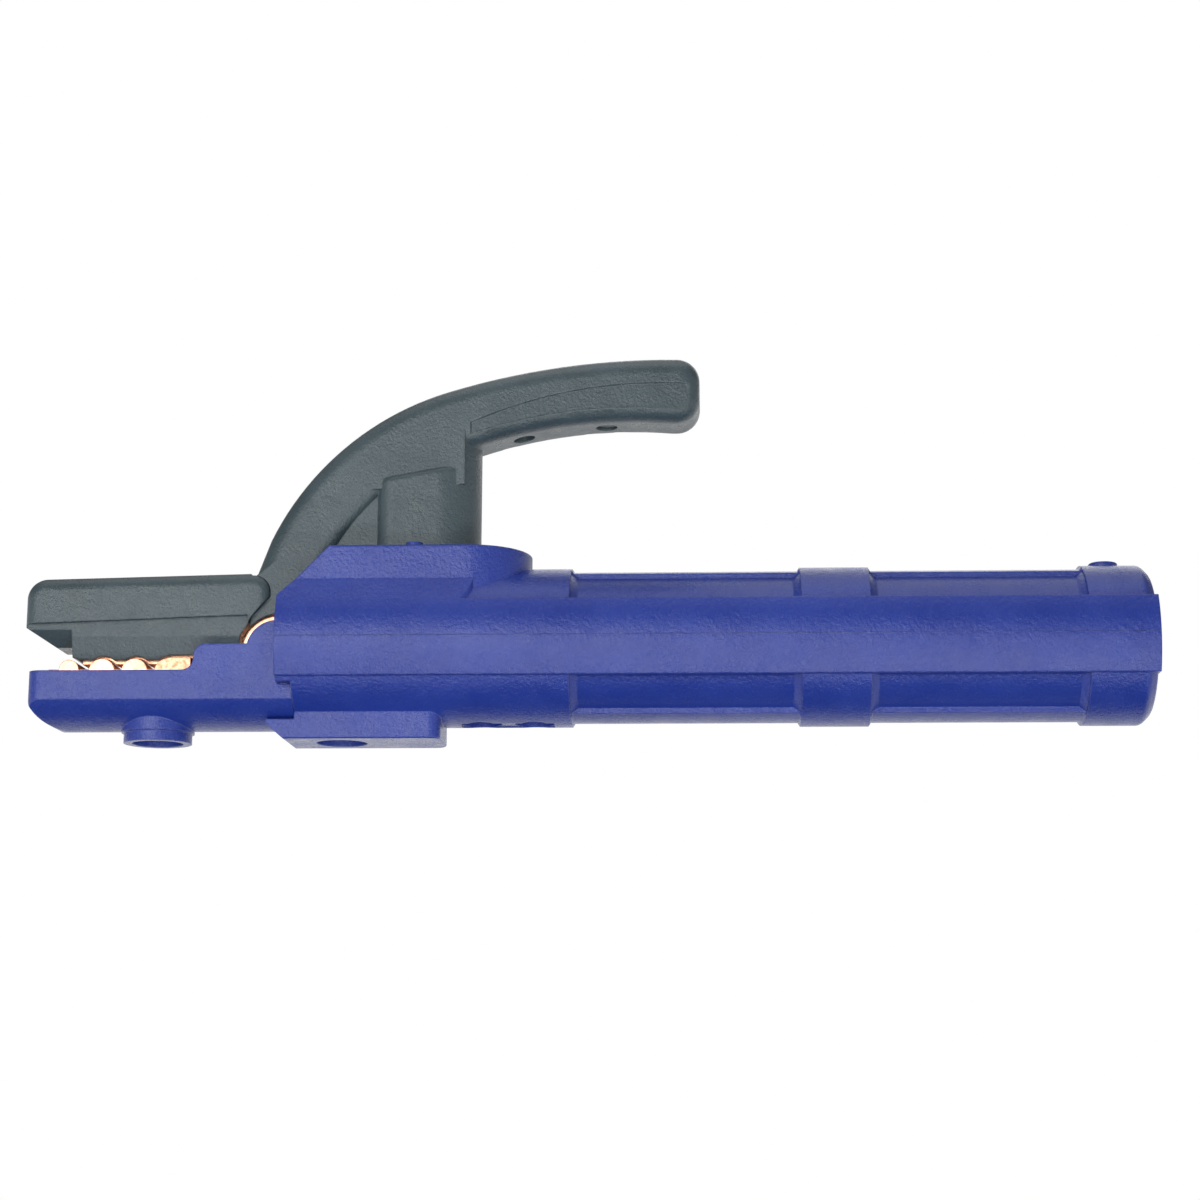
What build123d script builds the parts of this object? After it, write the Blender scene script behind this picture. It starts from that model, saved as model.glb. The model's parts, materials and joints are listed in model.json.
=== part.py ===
from build123d import *
import os
from math import asin, cos, degrees, radians, sin, sqrt

# Electrode holder, in millimetres. The handle's axis is X and the origin is the centre of the
# cable mouth at its rear end, so the jaws point to -X. The lever is on top, towards +Z, and the
# XZ plane is the plane of symmetry.

os.makedirs("parts", exist_ok=True)

# Handle. Places along X in its head, the jaws and the lever start from its front face
handle_length = 184.5
front_x = -handle_length
band_radius = 17.1
strip_drop = 0.8
pocket_drop = 1.0
strip_half_width = 6.2
pocket_ramp = 1.6
front_band_end = front_x + 61.9
mid_band_start = -73.9
mid_band_end = -59.3
collar_start = -14.2
collar_round = 2.0
rail_rise = 0.7
rail_half_height = 8.1
pocket_overrun = 2.0
cable_bore_radius = 12.5
cable_bore_gap = 1.0
edge_round = 0.5

# Head of the handle: a U-shaped neck, open in front, round the foot of the lever
head_rise = 3.2
head_wall = 2.9
head_round_x = front_x + 39.5
head_opening_clearance = 1.6
head_opening_floor = 3.0
slant_foot_z = 9.3
slant_top_x = front_x + 10.8
shoulder_high_z = 12.9
shoulder_end_x = front_x + 41.8
shoulder_end_round = 4.0
gate_stub_x = front_x + 28.6
gate_stub_radius = 1.8
gate_stub_height = 0.7
gate_stub_inset = 2.4
slant_overrun = 10.0
seat_low_z = -16.3

# Foot block under the head, with the hole of the handle screw
foot_z = -20.5
foot_half_width = 8.5
foot_front_x = front_x + 0.9
foot_nose_x = front_x - 2.9
foot_nose_z = -17.2
foot_rear_x = front_x + 34.2
foot_rear_round = 2.5
handle_screw_x = front_x + 12.3
handle_screw_head_radius = 5.0
handle_screw_head_height = 3.5
handle_screw_recess_radius = 5.5
handle_screw_recess_depth = 5.0
handle_screw_radius = 3.0
handle_screw_reach = 6.0
handle_screw_hex_radius = 2.9
screw_hole_clearance = 0.2

# Conductor: the lower jaw, the ears of the pivot, the spring platform and the cable socket
conductor_half_width = 7.8
conductor_bottom_z = -13.3
conductor_corner = 2.5
conductor_clearance = 0.1
jaw_tip_x = front_x - 50.1
tooth_radius = 2.8
tooth_first_radius = 2.1
tooth_centre_z = -5.9
tooth_pitch = 7.1
tooth_first_x = front_x - 45.8
tooth_count = 4
tooth_root_z = -5.4
land_z = -2.9
land_rear_x = front_x - 19.5
neck_top_z = -4.9
platform_top_z = 5.0
platform_front_x = front_x + 12.5
socket_axis_z = -4.3
socket_outer_radius = 8.8
socket_front_x = front_x + 34.5
socket_rear_x = front_x + 65.5
socket_bore_radius = 6.0
socket_bore_depth = 28.0
sleeve_wall = 0.8
sleeve_clearance = 0.05
clamp_screw_xs = (front_x + 42.5, front_x + 53.9)
clamp_screw_radius = 4.0
clamp_screw_length = 4.2
clamp_access_clearance = 0.3
access_flat_half_width = 3.3
access_flat_depth = 0.6
clamp_screw_hex_radius = 2.3
hex_depth = 1.4
screw_rim_round = 0.4

# Pivot of the lever
pivot_x = front_x - 0.5
pivot_z = -2.0
ear_radius = 8.0
ear_gap_half_width = 4.7
lug_radius = 5.8
pin_radius = 2.5
pin_running_clearance = 0.05
washer_thickness = 0.3
washer_radius = 4.6
opening_angle = 15.0
lever_gap = 0.5

# Lower jaw insulator
jaw_front_x = front_x - 54.0
jaw_half_width = 11.3
jaw_top_z = -6.1
jaw_crease_z = -12.3
jaw_bottom_z = -17.8
jaw_nose_round = 7.0
jaw_corner_round = 3.0
cheek_front_x = front_x - 18.2
cheek_top_z = -0.5
cheek_ear_radius = 6.5
cheek_round = 2.6
front_seam = 0.08
tongue_top_z = -9.2
tongue_rear_x = front_x + 3.1
boss_x = front_x - 27.7
boss_radius = 7.3
boss_collar_radius = 7.8
boss_collar_z = -18.3
jaw_screw_radius = 2.5
jaw_screw_head_radius = 4.3
jaw_screw_head_height = 2.8
jaw_screw_washer_radius = 5.0
jaw_screw_washer_thickness = 0.8
jaw_screw_recess_radius = 5.5
jaw_screw_recess_depth = 5.6
jaw_screw_reach = 6.0
jaw_screw_hex_radius = 2.3

# Lever: a cast core in two insulating mouldings
arm_half_width = 8.0
crown_radius = 160.0
crown_x = front_x + 81.1
crown_top_z = 63.1
arm_bend_radius = 61.6
arm_bend_angle = 16.9
arm_inner_radius = 47.8
arm_inner_low_angle = 77.0
arm_inner_top_angle = 40.0
arm_root_z = 34.8
under_overlap = 3.0
arm_front_x = front_x - 6.8
arm_front_top_z = 14.0
arm_straight_z = 23.0
arm_foot_rear_x = front_x + 4.5
inset_end_factor = 1.3
grip_end_x = front_x + 89.5
grip_end_round = 5.0
grip_under_radius = 106.7
grip_under_x = front_x + 74.3
grip_under_top_z = 49.2
grip_under_rear_x = front_x + 83.5
arm_top_round = 4.0
arm_under_round = 3.0
panel_depth = 0.5
panel_front_x = front_x + 39.9
panel_rear_x = front_x + 91.5
panel_top_drop = 6.4
panel_front_drop = 9.2
panel_foot_rise = 2.4
groove_width = 0.6
core_skin = 3.6
core_half_width = 4.3
lug_shoulder = 1.0
web_half_width = 6.2
column_half_width = 9.0
column_front_x = front_x + 19.8
column_rear_x = front_x + 41.8
column_front_top_z = 36.0
column_ledge_x = front_x + 38.0
column_ledge_z = 39.3
column_top_z = 46.5
column_corner_round = 3.6
column_top_round = 1.4

# Spring between the platform and the column
spring_x = front_x + 31.0
spring_cavity_clearance = 0.5
spring_cavity_top_z = 37.0
spring_mean_radius = 4.9
spring_wire_radius = 0.8
spring_turns = 7
spring_end_gap = 0.15
seat_radius = 6.9
seat_thickness = 2.0
seat_recess = 1.4
seat_post_radius = 3.4
seat_post_height = 2.6
cap_thickness = 1.6

# Upper jaw
jaw_bar_half_width = 5.0
jaw_bar_top_z = 8.0
jaw_bar_front_x = front_x - 43.5
jaw_bar_rear_x = front_x - 9.5
jaw_gap = 0.35
upper_root_z = -3.9
upper_front_x = front_x - 55.7
upper_half_width = 9.3
upper_top_front_z = 14.4
upper_top_rear_z = 15.6
upper_rear_gap = 0.4
upper_cheek_rear_x = front_x - 2.0
upper_cheek_inner = 8.2
upper_cheek_foot_z = 11.0
upper_cheek_lap = 1.0
upper_step_front_z = 4.4
upper_step_rear_z = 6.1
upper_skirt_half_width = 8.1
upper_skirt_foot_half_width = 6.3
upper_skirt_taper_z = 1.8
upper_skirt_gap = 0.7
upper_skirt_low_z = -3.2
upper_nose_x = front_x - 49.5
upper_nose_z = -0.1
upper_nose_top_z = 3.9
upper_nose_half_width = 4.5
upper_rear_round = 4.3
upper_skirt_front_x = front_x - 45.4
upper_round = 4.5
upper_edge_round = 3.0
upper_bar_clearance = 0.1
upper_screw_recess_z = 11.0

# Grip fixings
grip_screw_x = front_x + 51.0
grip_plug_x = front_x + 69.1
grip_hole_radius = 2.35
grip_screw_radius = 1.7
grip_screw_bite = 3.0
grip_screw_head_height = 1.6
grip_screw_seat_drop = 0.6
grip_screw_hex_radius = 1.1
grip_hole_clearance = 0.05
grip_hole_overrun = 1.0
grip_plug_recess = 0.5
grip_plug_gap = 0.3

# Cable lock screw through the collar
lock_screw_x = -8.7
lock_screw_radius = 2.4
lock_head_radius = 3.1
lock_head_height = 1.6
lock_head_clearance = 0.1
lock_seat_drop = 0.8
lock_slot_width = 0.9

strip_radius = band_radius - strip_drop
pocket_radius = strip_radius - pocket_drop
head_top = band_radius + head_rise
rail_radius = band_radius + rail_rise
lock_seat_z = band_radius - lock_seat_drop
head_opening_half_width = column_half_width + head_opening_clearance
head_half_width = head_opening_half_width + head_wall
spring_cavity_radius = seat_radius + spring_cavity_clearance
cable_bore_length = -socket_rear_x - cable_bore_gap
tooth_xs = [tooth_first_x + i * tooth_pitch for i in range(tooth_count)]
shoulder_half_width = sqrt(rail_radius**2 - rail_half_height**2)
upper_rear_x = arm_front_x - upper_rear_gap
boss_bottom_z = foot_z
conductor_wall_to_socket = socket_axis_z - socket_bore_radius - conductor_bottom_z
far = 400.0
standing = (Align.CENTER, Align.CENTER, Align.MIN)


def save(part, name):
    part.label = name
    export_step(part, f"parts/{name}.step")


def bend_centre():
    """Centre of the arm's bend, tangent to the crown arc inside it."""
    reach = crown_radius - arm_bend_radius
    crown_z = crown_top_z - crown_radius
    angle = radians(arm_bend_angle)
    return crown_x - reach * sin(angle), crown_z + reach * cos(angle)


def on_circle(centre, radius, angle):
    """Point of a circle in the XZ plane, with the angle in degrees from +Z towards -X."""
    return centre[0] - radius * sin(radians(angle)), centre[1] + radius * cos(radians(angle))


def crown_z(x, inset=0):
    return crown_top_z - crown_radius + sqrt((crown_radius - inset) ** 2 - (x - crown_x) ** 2)


def grip_under_z(x, inset=0):
    centre_z = grip_under_top_z - grip_under_radius
    return centre_z + sqrt((grip_under_radius + inset) ** 2 - (x - grip_under_x) ** 2)


def sweep_line_z(x):
    """Lowest height of the lever behind the pivot: level above the ears when fully open."""
    clear = ear_radius + lever_gap
    slope = radians(opening_angle)
    return pivot_z + (clear + (x - pivot_x) * sin(slope)) / cos(slope)


# ---------------------------------------------------------------- shared profiles

# Teeth of the lower jaw and the land behind them, grown by a gap to clear the upper jaw
def teeth_profile(gap, land_end):
    land_front = tooth_xs[-1]
    land_height = land_z + gap - tooth_root_z
    with BuildSketch(Plane.XZ) as teeth:
        with Locations((tooth_xs[0], tooth_root_z)):
            Circle(tooth_first_radius + gap)
        with Locations(*[(x, tooth_centre_z) for x in tooth_xs[1:]]):
            Circle(tooth_radius + gap)
        with Locations(((land_front + land_end) / 2, tooth_root_z + land_height / 2)):
            Rectangle(land_end - land_front, land_height)
    return teeth.sketch


# Cross-section of the lower jaw insulator, grown by a gap where the handle receives it
def lower_jaw_section(plane, gap):
    with BuildSketch(plane) as section:
        with BuildLine():
            side = jaw_half_width + gap
            Polyline((-side, jaw_crease_z), (-side, far), (side, far), (side, jaw_crease_z))
            ThreePointArc((side, jaw_crease_z), (0, jaw_bottom_z - gap), (-side, jaw_crease_z))
        make_face()
    return section.sketch


# Side view of the lever's arm and grip without its column, moved in all round by an inset
def arm_profile(inset=0):
    bend = bend_centre()
    crown = (crown_x, crown_top_z - crown_radius)
    front = arm_front_x + inset
    end = grip_end_x - inset
    outer_bend = arm_bend_radius - inset
    inner_bend = arm_inner_radius + inset
    straight_angle = 90 - degrees(asin((arm_straight_z - bend[1]) / outer_bend))
    tangent = on_circle(crown, crown_radius - inset, arm_bend_angle)
    crown_mid_x = (tangent[0] + end) / 2
    under_front_x = column_rear_x - under_overlap
    under_mid_x = (under_front_x + grip_under_rear_x) / 2
    under_rear_z = grip_under_z(grip_under_rear_x, inset)
    low_angle = arm_inner_low_angle - degrees(inset_end_factor * inset / inner_bend)
    inner_low = on_circle(bend, inner_bend, low_angle)
    inner_top = on_circle(bend, inner_bend, arm_inner_top_angle)
    root_corner = (under_front_x, arm_root_z + inset)
    with BuildSketch(Plane.XZ) as profile:
        with BuildLine():
            bend_arc = ThreePointArc(
                on_circle(bend, outer_bend, straight_angle),
                on_circle(bend, outer_bend, (straight_angle + arm_bend_angle) / 2),
                tangent,
            )
            Polyline(inner_low, (front, arm_front_top_z), bend_arc @ 0)
            crown_arc = ThreePointArc(
                tangent, (crown_mid_x, crown_z(crown_mid_x, inset)), (end, crown_z(end, inset))
            )
            under_arc = ThreePointArc(
                (grip_under_rear_x, under_rear_z),
                (under_mid_x, grip_under_z(under_mid_x, inset)),
                (under_front_x, grip_under_z(under_front_x, inset)),
            )
            Polyline(crown_arc @ 1, (end, under_rear_z), under_arc @ 0)
            inner_mid_angle = (arm_inner_top_angle + low_angle) / 2
            ThreePointArc(inner_top, on_circle(bend, inner_bend, inner_mid_angle), inner_low)
            Polyline(under_arc @ 1, root_corner, inner_top)
        make_face()
        fillet(profile.vertices().sort_by(Axis.X)[-2:], radius=grip_end_round - inset)
    return profile.sketch


# Foot of the arm and the web behind it, up to a rear end: they clear the ears and the platform
# while opening
def foot_profile(rear_x):
    clear = ear_radius + lever_gap
    pivot = (pivot_x, pivot_z)
    front_angle = degrees(asin((pivot_x - arm_front_x) / clear))
    web_rear_x = column_rear_x - column_half_width
    with BuildSketch(Plane.XZ) as foot:
        with BuildLine():
            foot_arc = ThreePointArc(
                on_circle(pivot, clear, front_angle),
                on_circle(pivot, clear, (front_angle + opening_angle) / 2),
                on_circle(pivot, clear, opening_angle),
            )
            Polyline(
                foot_arc @ 1,
                (web_rear_x, sweep_line_z(web_rear_x)),
                (web_rear_x, column_front_top_z),
                (column_front_x, column_front_top_z),
                (arm_front_x, arm_front_top_z),
                foot_arc @ 0,
            )
        make_face()
        with Locations((rear_x - far / 2, 0)):
            Rectangle(far, far, mode=Mode.INTERSECT)
    return foot.sketch


# Cross-section of the conductor, grown by a gap where something receives it
def conductor_section(plane, gap):
    side = conductor_half_width + gap
    bottom = conductor_bottom_z - gap
    with BuildSketch(plane) as section:
        with BuildLine():
            Polyline(
                (-side, bottom + conductor_corner),
                (-side + conductor_corner, bottom),
                (side - conductor_corner, bottom),
                (side, bottom + conductor_corner),
                (side, platform_top_z + gap),
                (-side, platform_top_z + gap),
                close=True,
            )
        make_face()
    return section.sketch


# ---------------------------------------------------------------- handle

# Long pockets between the side rails and the top and bottom strips
with BuildPart() as pockets:
    with BuildSketch(Plane.XZ) as pocket_ring:
        for start, end in ((front_band_end, mid_band_start), (mid_band_end, collar_start)):
            with BuildLine():
                Polyline(
                    (start, band_radius + pocket_overrun),
                    (start, strip_radius),
                    (start + pocket_ramp, pocket_radius),
                    (end - pocket_ramp, pocket_radius),
                    (end, strip_radius),
                    (end, band_radius + pocket_overrun),
                    close=True,
                )
            make_face()
    revolve(axis=Axis.X)
    Box(far, far, 2 * rail_half_height, mode=Mode.SUBTRACT)
    Box(far, 2 * strip_half_width, far, mode=Mode.SUBTRACT)

# Shoulders of the head: a slope from each rail to the neck, rounded at its rear end
with BuildPart() as shoulders:
    with BuildSketch(Plane.YZ.offset(front_x)):
        with BuildLine():
            Polyline(
                (-shoulder_half_width, 0),
                (-shoulder_half_width, rail_half_height),
                (-head_half_width, shoulder_high_z),
                (head_half_width, shoulder_high_z),
                (shoulder_half_width, rail_half_height),
                (shoulder_half_width, 0),
                close=True,
            )
        make_face()
    extrude(amount=shoulder_end_x - front_x)
    with BuildSketch() as shoulder_plan:
        with Locations(((front_x + shoulder_end_x) / 2, 0)):
            Rectangle(shoulder_end_x - front_x, 2 * shoulder_half_width)
        fillet(shoulder_plan.vertices().group_by(Axis.X)[-1], radius=shoulder_end_round)
    extrude(amount=far, mode=Mode.INTERSECT)

with BuildPart() as handle:
    # Barrel with its raised bands
    with BuildSketch(Plane.XZ) as barrel:
        with BuildLine():
            Polyline(
                (front_x, 0),
                (front_x, band_radius),
                (front_band_end, band_radius),
                (front_band_end + edge_round, strip_radius),
                (mid_band_start - edge_round, strip_radius),
                (mid_band_start, band_radius),
                (mid_band_end, band_radius),
                (mid_band_end + edge_round, strip_radius),
                (collar_start - edge_round, strip_radius),
                (collar_start, band_radius),
                (-collar_round, band_radius),
                (0, band_radius - collar_round),
                (0, 0),
                close=True,
            )
        make_face()
        rear_corners = barrel.vertices().filter_by_position(Axis.Y, 1, far).sort_by(Axis.X)[-2:]
        fillet(rear_corners, radius=collar_round)
    revolve(axis=Axis.X)
    add(pockets.part, mode=Mode.SUBTRACT)
    # Side rails
    with BuildSketch(Plane.YZ.offset(front_x)):
        Circle(rail_radius)
        Rectangle(far, 2 * rail_half_height, mode=Mode.INTERSECT)
    extrude(amount=handle_length)
    add(shoulders.part)
    # Neck of the head
    with BuildSketch(Plane.XY):
        with Locations((head_round_x, 0)):
            Circle(head_half_width)
        with Locations(((front_x + head_round_x) / 2, 0)):
            Rectangle(head_round_x - front_x, 2 * head_half_width)
    extrude(amount=head_top)
    rim_edges = handle.faces().filter_by(Axis.Z).sort_by(Axis.Z)[-1].edges()
    fillet(rim_edges, radius=edge_round)
    with Locations((gate_stub_x, gate_stub_inset - head_half_width, head_top)):
        Cylinder(radius=gate_stub_radius, height=2 * gate_stub_height)
    # Foot block
    with BuildSketch(Plane.XZ):
        with BuildLine():
            Polyline(
                (foot_front_x, foot_z),
                (foot_nose_x, foot_nose_z),
                (foot_nose_x, 0),
                (foot_rear_x, 0),
                (foot_rear_x, foot_z),
                close=True,
            )
        make_face()
    extrude(amount=foot_half_width, both=True)
    foot_corners = handle.edges().filter_by(Axis.Z).filter_by_position(Axis.X, foot_rear_x, foot_rear_x)
    fillet(foot_corners, radius=foot_rear_round)
    foot_face = handle.faces().filter_by(Axis.Z).sort_by(Axis.Z)[0]
    fillet(foot_face.edges(), radius=edge_round)
    # Slanted front of the head
    with BuildSketch(Plane.XZ):
        with BuildLine():
            slope = (head_top - slant_foot_z) / (slant_top_x - front_x)
            Polyline(
                (front_x, slant_foot_z),
                (slant_top_x + slant_overrun, head_top + slant_overrun * slope),
                (front_x - far, head_top + slant_overrun * slope),
                (front_x - far, slant_foot_z),
                close=True,
            )
        make_face()
    extrude(amount=far, both=True, mode=Mode.SUBTRACT)
    # Seat of the lower jaw insulator: nothing of the head is in front of its front face
    seat_length = tongue_rear_x - foot_nose_x + far
    with BuildSketch(Plane.XZ):
        with BuildLine():
            Polyline(
                (front_x, far),
                (front_x, tongue_top_z + front_seam),
                (tongue_rear_x + front_seam, tongue_top_z + front_seam),
                (tongue_rear_x + front_seam, seat_low_z),
                (-far, seat_low_z),
                (-far, far),
                close=True,
            )
        make_face()
    extrude(amount=far, both=True, mode=Mode.SUBTRACT)
    extrude(
        lower_jaw_section(Plane.YZ.offset(tongue_rear_x + front_seam), front_seam),
        amount=-seat_length,
        mode=Mode.SUBTRACT,
    )
    # Opening round the foot of the lever
    with BuildSketch(Plane.XY.offset(head_opening_floor)):
        with Locations((head_round_x, 0)):
            Circle(head_opening_half_width)
        with Locations((head_round_x - far / 2, 0)):
            Rectangle(far, 2 * head_opening_half_width)
    extrude(amount=far, mode=Mode.SUBTRACT)
    # Slot of the conductor, and the bore of the cable behind it
    extrude(
        conductor_section(Plane.YZ.offset(-cable_bore_length), conductor_clearance),
        amount=-far,
        mode=Mode.SUBTRACT,
    )
    with BuildSketch(Plane.YZ.offset(-cable_bore_length)):
        Circle(cable_bore_radius)
    extrude(amount=far, mode=Mode.SUBTRACT)
    # Room for the round socket inside the slot
    with BuildSketch(Plane.YZ.offset(socket_front_x - conductor_clearance)):
        with Locations((0, socket_axis_z)):
            Circle(socket_outer_radius + conductor_clearance)
    extrude(amount=-cable_bore_length - socket_front_x + conductor_clearance, mode=Mode.SUBTRACT)
    # Hole of the handle screw
    with Locations(Plane((handle_screw_x, 0, foot_z), z_dir=(0, 0, -1))):
        CounterBoreHole(
            radius=handle_screw_radius + screw_hole_clearance,
            counter_bore_radius=handle_screw_recess_radius,
            counter_bore_depth=handle_screw_recess_depth,
            depth=-foot_z,
        )
    # Access holes of the cable clamp screws, in a shallow flat
    access_radius = clamp_screw_radius + clamp_access_clearance
    with Locations(*[(x, 0, -band_radius) for x in clamp_screw_xs]):
        Hole(radius=access_radius, depth=band_radius + socket_axis_z)
    flat_length = clamp_screw_xs[1] - clamp_screw_xs[0] + 2 * access_radius
    with Locations((sum(clamp_screw_xs) / 2, 0, -band_radius)):
        Box(flat_length, 2 * access_flat_half_width, 2 * access_flat_depth, mode=Mode.SUBTRACT)
    # Hole of the cable lock screw
    with Locations(Plane((lock_screw_x, 0, lock_seat_z + lock_head_height))):
        CounterBoreHole(
            radius=lock_screw_radius,
            counter_bore_radius=lock_head_radius + lock_head_clearance,
            counter_bore_depth=lock_head_height,
            depth=band_radius,
        )
save(handle.part, "handle")


# ---------------------------------------------------------------- conductor

with BuildPart() as conductor_body:
    with BuildSketch(Plane.XZ):
        with BuildLine():
            Polyline(
                (jaw_tip_x, conductor_bottom_z),
                (jaw_tip_x, tooth_root_z),
                (land_rear_x, tooth_root_z),
                (land_rear_x, neck_top_z),
                (platform_front_x, neck_top_z),
                (platform_front_x, platform_top_z),
                (socket_front_x, platform_top_z),
                (socket_front_x, conductor_bottom_z),
                close=True,
            )
        make_face()
        with Locations((pivot_x, pivot_z)):
            Circle(ear_radius)
        add(teeth_profile(0, land_rear_x))
    extrude(amount=conductor_half_width, both=True)
    extrude(conductor_section(Plane.YZ.offset(0), 0), amount=-far, mode=Mode.INTERSECT)
    # Ears: their tops stand above the chamfered section of the bar
    with BuildSketch(Plane.XZ):
        with Locations((pivot_x, pivot_z)):
            Circle(ear_radius)
    extrude(amount=conductor_half_width, both=True)
    # Slot between the ears for the lug of the lever
    slot_bottom_z = pivot_z - lug_radius - lever_gap
    slot_front_x = jaw_bar_rear_x - lever_gap
    with BuildSketch(Plane.XY.offset(slot_bottom_z)):
        with Locations(((slot_front_x + platform_front_x) / 2, 0)):
            Rectangle(platform_front_x - slot_front_x, 2 * ear_gap_half_width)
    extrude(amount=far, mode=Mode.SUBTRACT)
    # Hole of the pivot pin
    with BuildSketch(Plane.XZ):
        with Locations((pivot_x, pivot_z)):
            Circle(pin_radius)
    extrude(amount=conductor_half_width, both=True, mode=Mode.SUBTRACT)
    # Round cable socket
    with BuildSketch(Plane.YZ.offset(socket_front_x)):
        with Locations((0, socket_axis_z)):
            Circle(socket_outer_radius)
    extrude(amount=socket_rear_x - socket_front_x)
    with BuildSketch(Plane.YZ.offset(socket_rear_x)):
        with Locations((0, socket_axis_z)):
            Circle(socket_bore_radius)
    extrude(amount=-socket_bore_depth, mode=Mode.SUBTRACT)
    # Recess of the spring seat
    with Locations((spring_x, 0, platform_top_z)):
        Hole(radius=seat_radius + conductor_clearance, depth=seat_recess)
    # Tapped holes of the screws that come in from below
    with Locations((boss_x, 0, conductor_bottom_z)):
        Hole(radius=jaw_screw_radius, depth=jaw_screw_reach)
    with Locations((handle_screw_x, 0, conductor_bottom_z)):
        Hole(radius=handle_screw_radius, depth=handle_screw_reach)
    with Locations(*[(x, 0, conductor_bottom_z) for x in clamp_screw_xs]):
        Hole(radius=clamp_screw_radius, depth=conductor_wall_to_socket)
save(conductor_body.part, "conductor_body")


# ---------------------------------------------------------------- lower jaw insulator

with BuildPart() as lower_jaw_insulator:
    # Side view with the step up to the cheeks, their round ears and the tongue
    with BuildSketch(Plane.XZ) as jaw_side:
        with BuildLine():
            Polyline(
                (jaw_front_x, jaw_bottom_z),
                (jaw_front_x, jaw_top_z),
                (cheek_front_x, jaw_top_z),
                (cheek_front_x, cheek_top_z),
                (front_x - front_seam, cheek_top_z),
                (front_x - front_seam, tongue_top_z),
                (tongue_rear_x, tongue_top_z),
                (tongue_rear_x, jaw_bottom_z),
                close=True,
            )
        make_face()
        fillet(jaw_side.vertices().group_by(Axis.X)[1], radius=cheek_round)
        fillet(jaw_side.vertices().group_by(Axis.X)[0].sort_by(Axis.Y)[0], radius=jaw_nose_round)
        with Locations((pivot_x, pivot_z)):
            Circle(cheek_ear_radius)
        with Locations((front_x - front_seam + far / 2, far / 2 + tongue_top_z)):
            Rectangle(far, far, mode=Mode.SUBTRACT)
    extrude(amount=far, both=True)
    extrude(lower_jaw_section(Plane.YZ, 0), amount=-far, mode=Mode.INTERSECT)
    # Rounded corners of the nose, in plan
    with BuildSketch(Plane.XY.offset(-far / 2)) as jaw_plan:
        with Locations((jaw_front_x + far / 2, 0)):
            Rectangle(far, 2 * jaw_half_width)
        fillet(jaw_plan.vertices().group_by(Axis.X)[0], radius=jaw_corner_round)
    extrude(amount=far, mode=Mode.INTERSECT)
    # Boss of the jaw screw
    with Locations(Plane((boss_x, 0, boss_bottom_z))):
        Cylinder(boss_radius, jaw_crease_z - boss_bottom_z, align=standing)
    with Locations(Plane((boss_x, 0, boss_collar_z))):
        Cylinder(boss_collar_radius, jaw_crease_z - boss_collar_z, align=standing)
    # Channel of the conductor
    extrude(
        conductor_section(Plane.YZ.offset(jaw_tip_x - conductor_clearance), conductor_clearance),
        amount=far,
        mode=Mode.SUBTRACT,
    )
    channel_top = far / 2 + platform_top_z
    with Locations((jaw_tip_x - conductor_clearance + far / 2, 0, channel_top)):
        Box(far, 2 * (conductor_half_width + conductor_clearance), far, mode=Mode.SUBTRACT)
    with Locations(Plane((boss_x, 0, boss_bottom_z), z_dir=(0, 0, -1))):
        CounterBoreHole(
            radius=jaw_screw_radius + screw_hole_clearance,
            counter_bore_radius=jaw_screw_recess_radius,
            counter_bore_depth=jaw_screw_recess_depth,
            depth=conductor_bottom_z - boss_bottom_z,
        )
save(lower_jaw_insulator.part, "lower_jaw_insulator")


# ---------------------------------------------------------------- lever

# Side view of the lever's cast core: arm, lug and the bar of the upper jaw
def core_profile():
    foot_z_top = arm_front_top_z + core_skin
    with BuildSketch(Plane.XZ) as core:
        add(arm_profile(core_skin))
        with BuildLine():
            Polyline(
                (arm_front_x + core_skin, foot_z_top),
                (pivot_x + lug_radius - lug_shoulder, foot_z_top),
                (pivot_x + lug_radius, pivot_z),
                (jaw_bar_rear_x, upper_root_z),
                (jaw_bar_front_x, upper_root_z),
                (jaw_bar_front_x, jaw_bar_top_z),
                (arm_front_x, jaw_bar_top_z),
                close=True,
            )
        make_face()
        with Locations((pivot_x, pivot_z)):
            Circle(lug_radius)
    return core.sketch


with BuildPart() as lever_core:
    extrude(core_profile(), amount=core_half_width, both=True)
    # The bar of the upper jaw is wider than the arm, and its teeth mesh with the lower jaw's
    with BuildSketch(Plane.XZ):
        with Locations(((jaw_bar_front_x + jaw_bar_rear_x) / 2, (upper_root_z + jaw_bar_top_z) / 2)):
            Rectangle(jaw_bar_rear_x - jaw_bar_front_x, jaw_bar_top_z - upper_root_z)
    extrude(amount=jaw_bar_half_width, both=True)
    extrude(teeth_profile(jaw_gap, jaw_bar_rear_x), amount=far, both=True, mode=Mode.SUBTRACT)
    with BuildSketch(Plane.XZ):
        with Locations((pivot_x, pivot_z)):
            Circle(pin_radius + pin_running_clearance)
    extrude(amount=core_half_width, both=True, mode=Mode.SUBTRACT)
    with Locations((boss_x, 0, jaw_bar_top_z)):
        Hole(radius=jaw_screw_radius, depth=jaw_screw_reach)
    core_foot_z = grip_under_z(grip_screw_x, core_skin)
    with Locations((grip_screw_x, 0, core_foot_z)):
        Hole(radius=grip_screw_radius, depth=grip_screw_bite)
save(lever_core.part, "lever_core")


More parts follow.
